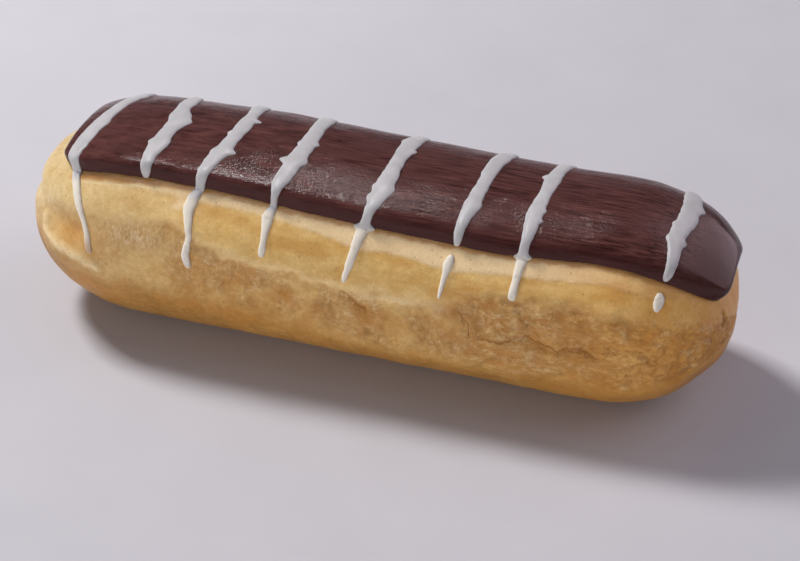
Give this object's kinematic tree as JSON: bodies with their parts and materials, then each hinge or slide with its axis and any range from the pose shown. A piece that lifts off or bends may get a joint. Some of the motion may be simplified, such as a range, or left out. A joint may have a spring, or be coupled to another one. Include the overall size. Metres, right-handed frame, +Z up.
{
  "type": "chocolate eclair",
  "caption": "Long choux bun with rounded ends, topped along its crown by a chocolate strip and crossed by piped white icing that drips down its sides.",
  "frame": {"origin": "middle of the base, on the surface that the eclair rests on", "axes": "+X along the eclair, -Y towards the side that the icing drips furthest down, +Z up"},
  "size_m": [0.1398, 0.0438, 0.0406],
  "materials": {
    "choux": "baked choux crust, golden to orange brown, satin on top and crackled along the sides",
    "chocolate": "set dark chocolate icing, satin, with fine streaks along its length",
    "icing": "set white icing, satin"
  },
  "bodies": {
    "root": {"choux_bun": "choux", "chocolate_strip": "chocolate", "icing_stripe_1": "icing", "icing_stripe_2": "icing", "icing_stripe_3": "icing", "icing_stripe_4": "icing", "icing_stripe_5": "icing", "icing_stripe_6": "icing", "icing_stripe_7": "icing", "icing_stripe_8": "icing", "icing_drip_6": "icing", "icing_drip_8": "icing"}
  },
  "joints": []
}
